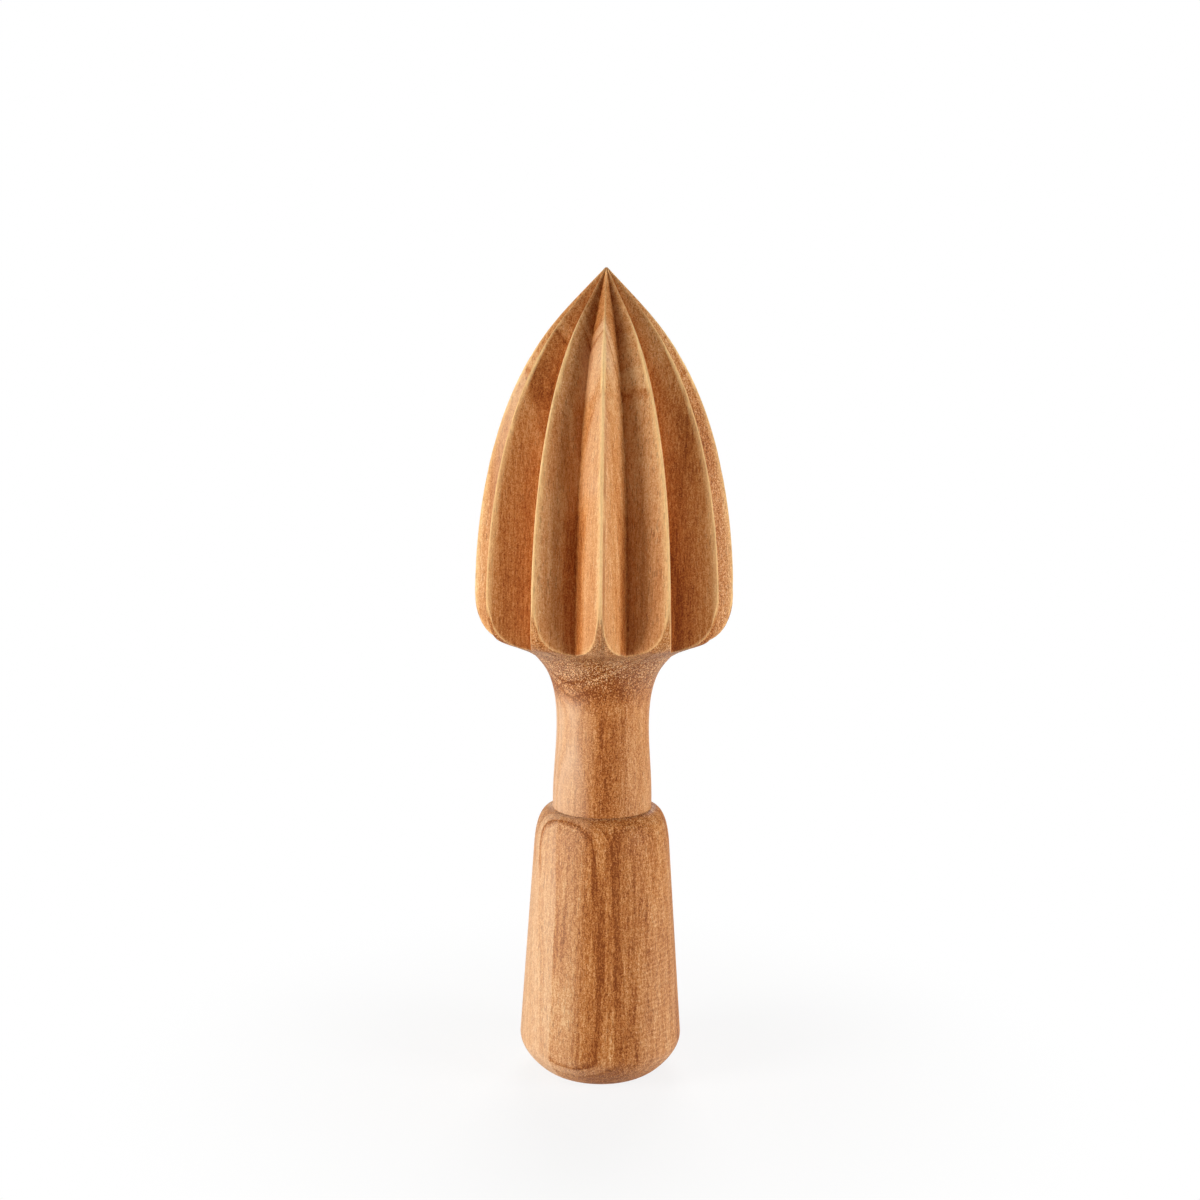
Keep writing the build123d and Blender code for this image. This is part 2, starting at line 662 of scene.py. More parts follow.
@dataclass(frozen=True)
class Fruitwood:
    """Oiled fruitwood whose growth rings, fibres, pores and end grain run through the solid.

    The tree's heart lies behind the reamer and a little to the right, so rings cross the front as upright
    bands, lean out over the flare and close into one long loop on the handle. Columns of darker, paler
    and tinted wood run up through the pieces, and some of the darker ones are painted shade: on the flute
    walls that face the front and by the two front valleys. A thin dark line runs up one flute wall. The
    flutes carry painted shade towards their bottoms and painted light on their walls next to the ridges,
    the ridges' pale worn edges carry a painted highlight, and the paler left sides of the handle and the
    neck are partly a painted sheen of the left lamp.

    Lengths are millimetres. An edge is a pair of places between which something grows from 0 to 1. The
    tones are the colours from dark to light, and a contrast is how strongly a pattern moves the tone.
    The ring shades are pairs of a depth in the tree and how dark the wood is there.
    """

    tones: tuple[Triple, ...] = (
        (0.185, 0.045, 0.009), (0.325, 0.098, 0.021), (0.455, 0.165, 0.043),
        (0.560, 0.250, 0.085), (0.650, 0.340, 0.140), (0.750, 0.480, 0.245),
    )
    pores: Triple = (0.44, 0.26, 0.12)
    # Pale colour of the ridges' worn edges, made paler still as a painted highlight where they catch the
    # lamps.
    worn: Triple = (1.0, 0.71, 0.33)
    # Colour multiplied in for the tinted columns, and as painted shade towards each flute's bottom.
    stain_and_shade_colour: Triple = (1.0, 0.84, 0.66)
    # Pale colour of paler wood, and of the painted sheen of the left lamp on the left sides of the handle and
    # the neck.
    pale: Triple = (0.78, 0.58, 0.41)
    columns: tuple[Column, ...] = (
        # Painted shade: the columns at (21.6, -8.2), (15.0, -5.0) and (13.0, -4.8) and at (0.0, 24.0) and
        # (1.0, 16.0)
        # darken the flute walls about 55 degrees to each side of the front ridge, which face the front and
        # get
        # darker wood, and paler where the strength is below zero.
        # little of the side lamps. Those at (18.5, 6.3) and (12.2, 16.2) darken the walls by the two front
        # valleys, where the front ridge shades them, and the second is partly darker wood too. The others are
        Column(21.6, -8.2, 6.6, 90.0, 170.0, 0.15), Column(0.0, 24.0, 8.8, 90.0, 170.0, 0.24),
        Column(15.0, -5.0, 5.0, 116.0, 170.0, 0.06), Column(13.0, -4.8, 4.8, 139.0, 156.0, 0.24),
        Column(1.0, 16.0, 6.5, 126.0, 170.0, 0.05), Column(10.0, -12.5, 6.0, 118.0, 162.0, -0.10),
        Column(12.2, 16.2, 4.2, 90.0, 120.0, 0.10), Column(18.5, 6.3, 3.1, 90.0, 118.0, 0.21),
        Column(23.5, 3.2, 4.6, 90.0, 170.0, -0.07), Column(10.5, 10.0, 6.0, 118.0, 170.0, -0.13),
        Column(14.8, 4.2, 3.6, 120.0, 152.0, -0.15), Column(12.0, -19.8, 6.0, 84.0, 138.0, 0.12),
        Column(-12.5, 20.5, 8.0, 84.0, 150.0, 0.17), Column(20.4, 10.6, 4.6, 90.0, 150.0, -0.06),
        Column(4.8, 11.4, 5.6, 80.5, 90.0, 0.15), Column(21.2, 4.6, 3.4, 104.0, 124.0, -0.09),
        Column(7.0, 6.5, 2.6, 56.0, 77.0, 0.20), Column(5.2, 8.2, 1.8, 56.0, 77.0, 0.10),
        Column(11.0, 10.5, 2.7, 18.0, 54.0, 0.13), Column(12.5, 9.2, 0.8, 18.0, 50.0, 0.12),
        Column(15.0, -0.3, 0.7, 20.0, 49.0, 0.26), Column(14.9, 1.4, 0.9, 18.0, 49.0, 0.22),
    )
    pale_columns: tuple[Column, ...] = (
        Column(20.8, 12.0, 4.6, 90.0, 126.0, 0.12), Column(17.8, 9.8, 4.2, 122.0, 144.0, 0.17),
        Column(11.4, 6.2, 4.4, 140.0, 163.0, 0.26), Column(12.0, -14.6, 5.0, 108.0, 160.0, 0.30),
    )
    stained_columns: tuple[Column, ...] = (
        Column(22.5, 3.0, 6.0, 90.0, 134.0, 0.30), Column(12.4, 18.6, 6.0, 90.0, 150.0, 0.33),
        Column(0.0, 22.0, 6.0, 90.0, 134.0, 0.20),
    )
    dark_line: DarkLine = DarkLine()

    heart_distance: float = 62.8
    ring_azimuth: float = 34.0
    foot_turn: float = 13.9
    turn_height: float = 56.0
    handle_lean: float = 0.083
    flare_lean: float = 0.225
    flare_heights: Point = (79.0, 88.0)
    sway: Triple = (1.6, 1.6, 0.0)
    sway_sizes: Triple = (9.0, 9.0, 40.0)
    ring_reach: float = 26.0
    ring_power: float = 1.5
    ring_shades: tuple[Point, ...] = (
        (-19.5, 0.60), (-19.0, 0.10), (-15.2, 0.55), (-14.7, 0.10), (-11.0, 0.65), (-10.5, 0.15),
        (-7.4, 0.50), (-6.9, 0.10), (-3.9, 0.55), (-3.4, 0.10), (-0.8, 0.45), (-0.4, 0.10),
        (2.6, 0.40), (3.0, 0.10), (5.3, 0.55), (5.7, 0.35), (7.6, 0.50), (7.95, 0.85), (8.3, 0.35),
        (9.25, 0.75), (9.6, 0.40), (10.5, 0.75), (10.8, 0.15), (11.7, 0.15), (12.0, 1.00), (12.4, 0.35),
        (13.2, 0.25), (13.5, 0.10), (18.0, 0.60), (18.5, 0.10), (23.0, 0.60),
    )

    neck_edge: Point = (55.9, 56.4)
    head_edge: Point = (88.0, 93.0)
    front_edge: Point = (-9.0, -1.0)
    across_edge: Point = (0.08, 0.62)
    dome_edge: Point = (98.0, 104.0)
    dome_evenness: float = 0.85
    # Painted sheen of the left lamp, partly paler wood: the left side of the handle.
    handle_left: Zone = Zone((-0.6, -1.2), 0.07, 0.18)
    handle_middle: Zone = Zone((6.5, 2.5), 0.085, 0.14)
    handle_right: Zone = Zone((2.0, 6.0), -0.065)
    # Painted sheen of the left lamp, partly paler wood: the left side of the neck.
    neck_left: Zone = Zone((5.0, -1.5), 0.234, 0.666)
    right_edge: Zone = Zone((13.6, 16.5), 0.03, 0.10)
    curl: Zone = Zone((11.5, 15.5), 0.16)
    flare: Zone = Zone((76.5, 83.5), -0.21)
    flare_left: Zone = Zone((6.0, 1.0), 0.0, 0.10)
    foot: Zone = Zone((9.0, 3.0), 0.0, 0.18)
    slant: float = 0.09
    slant_height: float = 40.0
    neck_inset: float = 5.6
    curl_end: Point = (92.0, 60.0)
    # How much the rings fade under the painted sheen on the handle's left side.
    faded_rings: float = 0.7
    faded_end: Point = (47.0, 42.0)

    jag: Grain = Grain((1.2, 1.2, 14.0), 2.0, 0.6)
    jag_reach: float = 0.5
    streak: Grain = Grain((1.2, 0.6, 34.0), 3.0, 0.6)
    blotch: Grain = Grain((9.0, 7.0, 40.0))
    grit: Grain = Grain((0.50, 0.45, 0.90), 2.0, 0.65)
    speck_sizes: Triple = (0.17, 0.17, 0.24)
    fibre_sizes: Triple = (0.18, 0.18, 1.2)

    base_tone: ByPart = ByPart(0.56, 0.58, 0.76)
    across_shade: ByPart = ByPart(0.03, 0.12, 0.12)
    ring_contrast: float = 0.42
    flare_ring_contrast: float = 0.22
    layer_contrast: ByPart = ByPart(0.45, 0.45, 0.17)
    streak_contrast: ByPart = ByPart(0.85, 0.55, 0.55)
    blotch_contrast: float = 0.5
    fibre_contrast: ByPart = ByPart(0.46, 0.32, 0.32)
    speck_contrast: ByPart = ByPart(0.70, 0.70, 0.50)
    across_contrast: ByPart = ByPart(0.30, 2.80, 0.80)
    rim_contrast: float = 0.45
    rim_edge: Point = (-3.0, -7.0)
    # Painted shade that deepens towards each flute's bottom.
    hollow_shade: float = 0.08
    hollow_power: float = 6.0
    valley_shade_power: float = 2.0
    # Painted light on the flute walls next to the ridges.
    wall_light_lift: float = 0.26
    ridge_contrast: float = 0.8
    pore_share: float = 0.72
    pore_edge: Point = (0.78, 0.86)

    roughness: float = 0.48
    rough_contrast: float = 0.25
    gloss: float = 0.09
    relief_strength: float = 0.35
    relief_depth: float = 0.12
    speck_relief: float = 0.35
    fibre_relief: float = 0.40
    grit_relief: float = 0.50
    streak_relief: float = 0.50

    def warped(self, place: Field) -> Field:
        """Position, gently warped as grown wood is: the position plus slow noise about 0 times the sway.

        Args:
            place: position in millimetres.

        Returns:
            The warped position.
        """
        shader = place.shader
        noise = shader.noise(shader.squeezed(place, self.sway_sizes), 1.0, detail=1.0, output=1)
        centred = shader.vector("SUBTRACT", noise, (0.5, 0.5, 0.5))
        return shader.vector("ADD", place, shader.vector("MULTIPLY", centred, self.sway))

    def spot(self, place: Field) -> Spot:
        """Turns a position so that its first axis leads away from the tree's heart, and finds its zones.

        Args:
            place: position in millimetres.

        Returns:
            The spot.
        """
        shader, turn = place.shader, (0.0, 0.0, math.radians(90.0 + self.ring_azimuth))
        sockets = {"Vector": self.warped(place), "Rotation": turn}
        turned = shader.node("ShaderNodeMapping", {"vector_type": "POINT"}, sockets)
        out, side, height = shader.parts(turned)
        across = shader.stored("across").rises(*self.across_edge)
        return Spot(
            turned, out, side, height,
            on_neck=height.rises(*self.neck_edge),
            past_flare=self.flare.past(height),
            on_head=height.rises(*self.head_edge),
            front=out.rises(*self.front_edge),
            across=across * (1 - height.rises(*self.dome_edge) * self.dome_evenness),
        )

    def depth(self, spot: Spot) -> Field:
        """Which layer of the tree a spot lies in, as a distance from the layer on the turning axis.

        In words: the root of the square of the way out from the heart plus the square of the way
        sideways from it. Towards the foot the heart moves sideways, which turns the layers there, and
        the layers lean outwards down the handle and inwards up the flare.

        Args:
            spot: where the wood is looked at.

        Returns:
            The distance in millimetres.
        """
        low = (self.turn_height - spot.height).at_least(0.0)
        drift = low * (self.heart_distance / self.turn_height * math.tan(math.radians(self.foot_turn)))
        out, side = spot.out + self.heart_distance, spot.side + drift
        first, last = self.flare_heights
        flare = (spot.height - first).at_least(0.0).at_most(last - first)
        away = (out * out + side * side).root() - (drift * drift + self.heart_distance ** 2).root()
        return away - low * self.handle_lean + flare * self.flare_lean

    def ring_shade(self, depth: Field) -> Field:
        """How dark each layer is: dark lines that end at once on the side of the heart.

        In words: a ramp over the depth, raised to a power that keeps the weak lines weak.

        Args:
            depth: which layer a place lies in.

        Returns:
            The darkness, from 0 to 1.
        """
        width = 2 * self.ring_reach
        stops = [(place / width + 0.5, shade) for place, shade in self.ring_shades]
        shade = depth.shader.node("ShaderNodeValToRGB", {"stops": stops}, {0: depth / width + 0.5})
        return shade ** self.ring_power

    def texture(self, spot: Spot) -> Texture:
        """Works out the fine patterns, the rings with edges that jag a little along the grain.

        Args:
            spot: where the wood is looked at.

        Returns:
            The patterns.
        """
        shader = spot.turned.shader
        depth = self.depth(spot) + (self.jag.at(spot) - 0.5) * self.jag_reach
        layers = shader.node(
            "ShaderNodeTexNoise", {"noise_dimensions": "1D"},
            {"W": depth, "Scale": 1.7, "Detail": 3.0, "Roughness": 0.6},
        )
        return Texture(
            rings=self.ring_shade(depth), layers=layers, streak=self.streak.at(spot),
            blotch=self.blotch.at(spot), grit=self.grit.at(spot),
            speck=shader.cells(spot.turned, self.speck_sizes),
            fibre=shader.cells(spot.turned, self.fibre_sizes),
        )

    def zones(self, spot: Spot) -> dict[Zone, Field]:
        """Where the zones lie: sides of the handle and the neck, curly wood, the flare and the foot.

        Args:
            spot: where the wood is looked at.

        Returns:
            For each zone, how far the spot is in it, from 0 to 1.
        """
        side, height = spot.side, spot.height
        on_handle, below_head = 1 - spot.on_neck, 1 - spot.on_head
        slanted = side + (height - self.slant_height).at_least(0.0) * self.slant
        ripple = spot.turned.shader.node(
            "ShaderNodeTexWave", {"wave_type": "BANDS", "bands_direction": "Z", "wave_profile": "SIN"},
            {"Vector": spot.turned, "Scale": 0.30, "Distortion": 5.0, "Detail": 2.0, "Detail Scale": 1.6},
            "Fac",
        )
        return {
            self.handle_left: self.handle_left.past(slanted) * spot.front * on_handle,
            self.handle_middle: self.handle_middle.past(side) * spot.front * on_handle,
            self.handle_right: self.handle_right.past(side) * on_handle,
            self.neck_left: self.neck_left.past(side) * spot.front * spot.on_neck * (1 - spot.past_flare),
            self.right_edge: self.right_edge.past(side + spot.on_neck * self.neck_inset) * below_head,
            self.curl: self.curl.past(side) * height.rises(*self.curl_end) * ripple * ripple,
            self.flare: spot.past_flare * below_head,
            self.flare_left: self.flare_left.past(side) * spot.across * spot.on_neck * below_head,
            self.foot: self.foot.past(height),
        }

    def tone(self, spot: Spot, texture: Texture, rings: Field, zones: Mapping[Zone, Field]) -> Field:
        """How light the wood is, as a place on the scale of tones.

        In words: each part's own tone, less the rings, the darker columns and the darkness of end grain,
        plus every pattern's distance from its middle times its contrast, plus what the zones add.

        Args:
            spot: where the wood is looked at.
            texture: the fine patterns there.
            rings: how dark the rings are there.
            zones: how far the spot is in each zone.

        Returns:
            The tone, about 0.5.
        """
        specks = (
            self.speck_contrast.at(spot) + spot.across * self.across_contrast.at(spot)
            + spot.out.rises(*self.rim_edge) * spot.on_head * self.rim_contrast
        )
        tone = (
            self.base_tone.at(spot) - summed(self.columns, spot) - spot.across * self.across_shade.at(spot)
            - rings * (self.ring_contrast + zones[self.flare] * self.flare_ring_contrast)
            + (texture.layers - 0.5) * self.layer_contrast.at(spot)
            + (texture.streak - 0.5) * self.streak_contrast.at(spot)
            + (texture.blotch - 0.5) * self.blotch_contrast
            + (texture.fibre - 0.5) * self.fibre_contrast.at(spot)
            + (texture.speck - 0.5) * specks
        )
        return sum((share * zone.tone for zone, share in zones.items() if zone.tone), tone)

    def build(self, name: str, with_flutes: bool) -> bpy.types.Material:
        """The finish as a material.

        Args:
            name: the material's name.
            with_flutes: whether the piece stores where its ridges are worn and carry a painted highlight, how
            far down in a flute a place is and where a wall carries painted light.

        Returns:
            The material.
        """
        shader, made = Shader.material(name)
        place = shader.vector("SCALE", shader.node("ShaderNodeTexCoord", {}, {}, "Object"), scale=1 / METRES)
        spot = self.spot(place)
        texture, zones = self.texture(spot), self.zones(spot)
        # The rings fade where the handle's left side carries the painted sheen.
        faded = zones[self.handle_left] * spot.height.rises(*self.faded_end) * self.faded_rings
        rings = texture.rings * (1 - faded)

        tone = self.tone(spot, texture, rings, zones)
        if with_flutes:
            hollow = shader.stored("hollow")
            # Painted shade towards each flute's bottom.
            tone = tone - (hollow + hollow ** self.hollow_power) * self.hollow_shade
            # Painted light on the walls next to the ridges.
            tone = tone + shader.stored("painted_wall_light") * self.wall_light_lift
        stops = [(number / (len(self.tones) - 1), colour) for number, colour in enumerate(self.tones)]
        wood = shader.node("ShaderNodeValToRGB", {"stops": stops}, {0: tone})
        pores = texture.fibre.rises(*self.pore_edge) * self.pore_share
        wood = shader.mix(pores, wood, self.pores, "MULTIPLY")
        paler = summed(self.pale_columns, spot)
        paler = sum((share * zone.pale for zone, share in zones.items() if zone.pale), paler)
        wood = shader.mix(paler * (1 - rings), wood, self.pale)
        if with_flutes:
            # Tinted columns, and painted shade towards each flute's bottom, multiplied in.
            stain_and_valley_shade = (hollow ** self.valley_shade_power).at_least(summed(self.stained_columns, spot))
            wood = shader.mix(stain_and_valley_shade, wood, self.stain_and_shade_colour, "MULTIPLY")
            # Worn ridge edges, with a painted highlight.
            wear_and_highlight = shader.stored("ridge") * (1.0 + (texture.grit - 0.5) * self.ridge_contrast)
            wood = shader.mix(wear_and_highlight, wood, self.worn)
            # A thin dark line up the wall right of the front ridge.
            wood = shader.mix(self.dark_line.share(place, texture.streak), wood, self.tones[1])

        relief = (
            texture.speck * self.speck_relief + texture.fibre * self.fibre_relief
            + texture.grit * self.grit_relief + texture.streak * self.streak_relief
        )
        bump = shader.node(
            "ShaderNodeBump", {},
            {"Strength": self.relief_strength, "Distance": self.relief_depth * METRES, "Height": relief},
        )
        rough = self.roughness + (texture.grit - 0.5) * self.rough_contrast
        shader.finish(shader.node(
            "ShaderNodeBsdfPrincipled", {},
            {"Base Color": wood, "Roughness": rough, "Normal": bump, "Specular IOR Level": self.gloss},
        ))
        return made


@dataclass(frozen=True)
class StudioWhite:
    """Pale floor that reads as white away from the reamer and keeps its soft shadow. Lengths are metres."""

    colour: Triple = (0.90, 0.90, 0.90)
    mottle: float = 1.04
    mottle_scale: float = 40.0
    shadow_share: float = 0.16
    near: float = 0.030
    far: float = 0.110

    def build(self, name: str) -> bpy.types.Material:
        """The finish as a material: matt near the reamer, and more and more plain white away from it.

        Args:
            name: the material's name.

        Returns:
            The material.
        """
        shader, made = Shader.material(name)
        place = shader.node("ShaderNodeTexCoord", {}, {}, "Object")
        away = shader.vector("LENGTH", place, output=1)
        seen = shader.node("ShaderNodeLightPath", {}, {}, "Is Camera Ray")
        mottled = tuple(self.mottle * part for part in self.colour)
        colour = shader.mix(shader.noise(place, self.mottle_scale), self.colour, mottled)
        matt = {"Base Color": colour, "Roughness": 1.0, "Specular IOR Level": 0.0}
        plain = shader.node("ShaderNodeBsdfPrincipled", {}, matt)
        white = shader.node("ShaderNodeEmission", {}, {"Color": (1.0, 1.0, 1.0, 1.0), "Strength": 1.0})
        share = (away.rises(self.near, self.far) * self.shadow_share + (1 - self.shadow_share)) * seen
        shader.finish(shader.node("ShaderNodeMixShader", {}, {0: share, 1: plain, 2: white}))
        return made


# The reamer

class Slot(Enum):
    """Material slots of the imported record."""

    HEAD = "wood_head"
    HANDLE = "wood_handle"


@dataclass
class Handle:
    """Turned handle with a flat end, a rounded lower edge, a straight taper, a shoulder and a socket.

    The rows give, line by line, how many places the outline has and its crease distance.
    """

    finish: Fruitwood
    length: float = 56.2
    diameter: float = 33.6
    base_diameter: float = 20.0
    widest_height: float = 8.0
    shoulder_diameter: float = 28.0
    shoulder_length: float = 7.6
    top_diameter: float = 20.8
    base_edge_angle: float = 12.0
    shoulder_top_angle: float = 162.0
    shoulder_pulls: Point = (2.8, 0.15)
    base_edge_shares: tuple[Point, ...] = ((0.635, 0.35),)
    socket_diameter: float = 14.2
    socket_depth: float = 26.0
    rows: Rows = ((8, 0.08), (40, 0.08), (60, 0.0), (40, 0.08), (5, 0.08), (14, 0.08), (5, 0.08))
    columns: int = 288

    def outline(self) -> np.ndarray:
        """Radii and heights from the middle of the flat end, round the outside, to the socket's bottom.

        The lower edge and the shoulder are smooth lines that leave the straight taper along it.

        Returns:
            Array of places with a radius and a height each.
        """
        base, top = (self.base_diameter / 2, 0.0), (self.top_diameter / 2, self.length)
        widest = (self.diameter / 2, self.widest_height)
        shoulder = (self.shoulder_diameter / 2, self.length - self.shoulder_length)
        taper = np.subtract(shoulder, widest) / math.dist(shoulder, widest)
        points = between(base, widest, self.base_edge_shares)
        edge = smooth_curve(points, heading(self.base_edge_angle), taper)
        start, end = self.shoulder_pulls
        bend = smooth_curve([shoulder, top], start * taper, heading(self.shoulder_top_angle, end))
        wall, floor = self.socket_diameter / 2, self.length - self.socket_depth
        mouth, corner = (wall, self.length), (wall, floor)
        lines = (
            [(0.0, 0.0), base], edge, [widest, shoulder], bend, [top, mouth], [mouth, corner],
            [corner, (0.0, floor)],
        )
        return stepped(lines, self.rows)

    def build(self) -> bpy.types.Object:
        """Turns the outline round the axis and dresses it.

        Returns:
            The handle.
        """
        line = self.outline()
        angle = np.linspace(0, 2 * np.pi, self.columns, endpoint=False)
        piece = closed_grid("turned_handle", turned_grid(line[:, :1], angle, line[:, 1:]))
        mark_across(piece)
        piece.data.materials.append(self.finish.build("oiled_wood_handle", with_flutes=False))
        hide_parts("handle")
        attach(piece, "root")
        return piece


@dataclass
class FlutedHead:
    """Pointed head with V flutes, its flared neck and the spigot that sits in the handle's socket.

    The neck's rows give, line by line, how many places the outline has and its crease distance. In each
    column of the head the low rows lie below the place where its flute ends and the high ones above it,
    and the extra shares add rows close to that place and to the tip.
    """

    finish: Fruitwood
    foot_height: float = 56.2
    neck_length: float = 32.1
    neck_foot_diameter: float = 20.4
    neck_foot_length: float = 2.0
    waist_diameter: float = 19.0
    waist_height: float = 17.3
    collar_diameter: float = 28.4
    collar_angle: float = 48.0
    length: float = 77.5
    diameter: float = 52.6
    widest_rise: float = 12.0
    underside_angle: float = 32.0
    tip_angle: float = 90.0
    tip_radius: float = 0.8
    flute_count: int = 12
    ridge_width: float = 0.5
    root_diameter: float = 38.8
    root_overrun: float = 1.0
    spigot_diameter: float = 14.0
    spigot_length: float = 25.0
    spigot_chamfer: float = 1.0
    flare_shares: tuple[Point, ...] = ((0.20, 0.58), (0.53, 0.82))
    underside_shares: tuple[Point, ...] = ((0.39, 0.20), (0.73, 0.34))
    dome_shares: tuple[Point, ...] = ((0.950, 0.27), (0.780, 0.555), (0.467, 0.80))

    edge_softness: float = 0.32
    bottom_softness: float = 0.0015
    plain_radius: float = 1.0
    chip_depth: float = 0.10
    chip_seed: int = 5
    chip_waves: int = 9
    chip_length: float = 23.0
    chip_edge: Point = (0.25, 1.25)
    chip_radii: Point = (1.0, 5.0)
    ridge_offset: float = 61.0

    mark_rise: float = 3.0
    crest_width: float = 0.5
    # Worn ridge edges with their painted highlight.
    wear_and_highlight_width: float = 0.14
    wear_and_highlight_share: float = 0.36
    # Painted light on the walls next to the ridges.
    wall_light_share: float = 0.034
    wall_light_edge: Point = (136.0, 112.0)
    least_band: float = 1e-3
    least_reach: float = 1e-2
    least_radius: float = 1e-6

    neck_rows: Rows = ((3, 0.0), (2, 0.0), (5, 0.08), (3, 0.08), (4, 0.08), (16, 0.0), (24, 0.08))
    low_rows: int = 26
    low_extra: tuple[float, ...] = (0.992,)
    high_rows: int = 84
    high_extra: tuple[float, ...] = (0.0015, 0.9955, 0.997, 0.9985)
    curve_places: int = 1200
    cap_places: int = 40
    search_places: int = 2400
    mouth_rise: float = 24.0
    middle_angles: tuple[float, ...] = (0.0, 0.2, 0.5, 1.0)
    wall_angle: float = 1.8
    wall_columns: int = 9
    mouth_columns: int = 9
    ridge_columns: int = 4

    def __post_init__(self) -> None:
        """Works out the corners of the outline."""
        self.collar = (self.collar_diameter / 2, self.foot_height + self.neck_length)
        self.tip_height = self.collar[1] + self.length
        self.widest = (self.diameter / 2, self.collar[1] + self.widest_rise)
        half = math.radians(self.tip_angle / 2)
        drop = self.tip_radius * (1 - math.sin(half))
        self.tip_edge = (self.tip_radius * math.cos(half), self.tip_height - drop)
        self.half_pitch = math.pi / self.flute_count
        radius, height = self.widest
        rise = self.tip_edge[1] - height
        self.dome_points = [(out * radius, height + up * rise) for out, up in self.dome_shares]

    def neck(self) -> np.ndarray:
        """Radii and heights from the middle of the spigot's end, up the neck, to the collar.

        Returns:
            Array of places with a radius and a height each.
        """
        foot, spigot = self.neck_foot_diameter / 2, self.spigot_diameter / 2
        end, floor = self.foot_height - self.spigot_length, self.foot_height
        chamfer, chamfer_top = (spigot - self.spigot_chamfer, end), (spigot, end + self.spigot_chamfer)
        step = (foot, self.foot_height + self.neck_foot_length)
        waist = (self.waist_diameter / 2, self.foot_height + self.waist_height)
        stem = smooth_curve([step, waist], heading(90), heading(90))
        points = between(waist, self.collar, self.flare_shares)
        flare = smooth_curve(points, heading(90), heading(self.collar_angle))
        lines = (
            [(0.0, end), chamfer], [chamfer, chamfer_top], [chamfer_top, (spigot, floor)],
            [(spigot, floor), (foot, floor)], [(foot, floor), step], stem, flare,
        )
        return stepped(lines, self.neck_rows)

    def turned_outline(self) -> np.ndarray:
        """Radii and heights of the head as it was turned, from the collar out and up to the tip.

        The underside and the dome are smooth lines, and the tip is a part of a circle.

        Returns:
            Array of places with a radius and a height each.
        """
        half = math.radians(self.tip_angle / 2)
        points = between(self.collar, self.widest, self.underside_shares)
        under = smooth_curve(points, heading(self.underside_angle), heading(90))
        slope = np.array([-math.sin(half), math.cos(half)])
        points = [self.widest, *self.dome_points, self.tip_edge]
        dome = smooth_curve(points, heading(90), slope, self.curve_places)
        turn = np.linspace(half, math.pi / 2, self.cap_places)
        cap = np.stack([np.cos(turn), np.sin(turn) - 1], axis=1) * self.tip_radius + (0.0, self.tip_height)
        return joined(under, dome, cap)

    def root_line(self) -> np.ndarray:
        """Radii and heights of a flute's bottom line.

        On the dome it is a steady share of the turned radius, which leaves the ridge's width between two
        flutes, and lower down it runs straight out through the underside.

        Returns:
            Array of places with a radius and a height each.
        """
        mouth = self.half_pitch - self.ridge_width / self.diameter
        share = math.cos(mouth) - math.sin(mouth)
        points = [(self.root_diameter / 2, self.collar[1])]
        points += [(share * radius, height) for radius, height in [*self.dome_points, self.tip_edge]]
        first, last = np.subtract(points[1], points[0]), np.subtract(points[-1], points[-2])
        first, last = first / np.linalg.norm(first), last / np.linalg.norm(last)
        line = smooth_curve(points, first, last, self.curve_places)
        return np.concatenate([line, [(line[-1, 0], self.tip_height + self.root_overrun)]])

    def reach(self, bottom: np.ndarray, outer: np.ndarray) -> np.ndarray:
        """Angle from a flute's middle at which its wall meets the turned surface.

        A flute's wall lies at the bottom line's radius divided by the cosine less the sine of the angle,
        so it meets the turned surface at the arc cosine of the share of the turned radius at which the
        bottom line lies, over root two, less 45 degrees. Below 0 there is no flute.

        Args:
            bottom: radius of the bottom line.
            outer: turned radius at the same height.

        Returns:
            The angle in radians.
        """
        share = bottom / np.maximum(outer, self.least_radius)
        return np.arccos(np.clip(share / math.sqrt(2), -1, 1)) - math.pi / 4

    def half_flute(self, turned: np.ndarray, root: np.ndarray) -> tuple[np.ndarray, np.ndarray]:
        """Angles from a flute's middle to the next ridge's middle, and where the flute ends on each.

        Args:
            turned: the turned outline.
            root: the flute's bottom line.

        Returns:
            The angles, and for each the height below which the turned surface is left.
        """
        heights = np.linspace(self.collar[1], self.widest[1] + self.mouth_rise, self.search_places)
        bottom, outer = (np.interp(heights, line[:, 1], line[:, 0]) for line in (root, turned))
        reach = self.reach(bottom, outer)
        cut = reach > 0
        reach, heights = np.maximum.accumulate(reach[cut]), heights[cut]
        slow = reach[np.searchsorted(heights, self.widest[1])]
        mouth_heights = np.linspace(self.widest[1], heights[-1], self.mouth_columns)
        angles = np.concatenate([
            np.radians(self.middle_angles),
            np.linspace(math.radians(self.wall_angle), slow, self.wall_columns),
            np.interp(mouth_heights[1:], heights, reach),
            np.linspace(reach[-1], self.half_pitch, self.ridge_columns)[1:],
        ])
        return angles, np.interp(angles, reach, heights)

    def turned_rows(self, turned: np.ndarray, leave: np.ndarray) -> tuple[np.ndarray, np.ndarray]:
        """Turned radius and height of each place of the head, row by row from the collar to the tip.

        In words: shares of the way along the outline to where the flute ends, then shares of the rest. A
        row of places lies where the flutes end, so the edges there stay crisp.

        Args:
            turned: the turned outline.
            leave: for each column the height at which the flute ends.

        Returns:
            The radii and the heights, as rows by columns.
        """
        run = run_along(turned)
        end = np.interp(leave, turned[:, 1], run)
        low = np.union1d(np.linspace(0, 1, self.low_rows), self.low_extra)[1:, None]
        high = np.union1d(np.linspace(0, 1, self.high_rows), self.high_extra)[1:, None]
        along = np.concatenate([low * end, end + high * (run[-1] - end)])
        return np.interp(along, run, turned[:, 0]), np.interp(along, run, turned[:, 1])

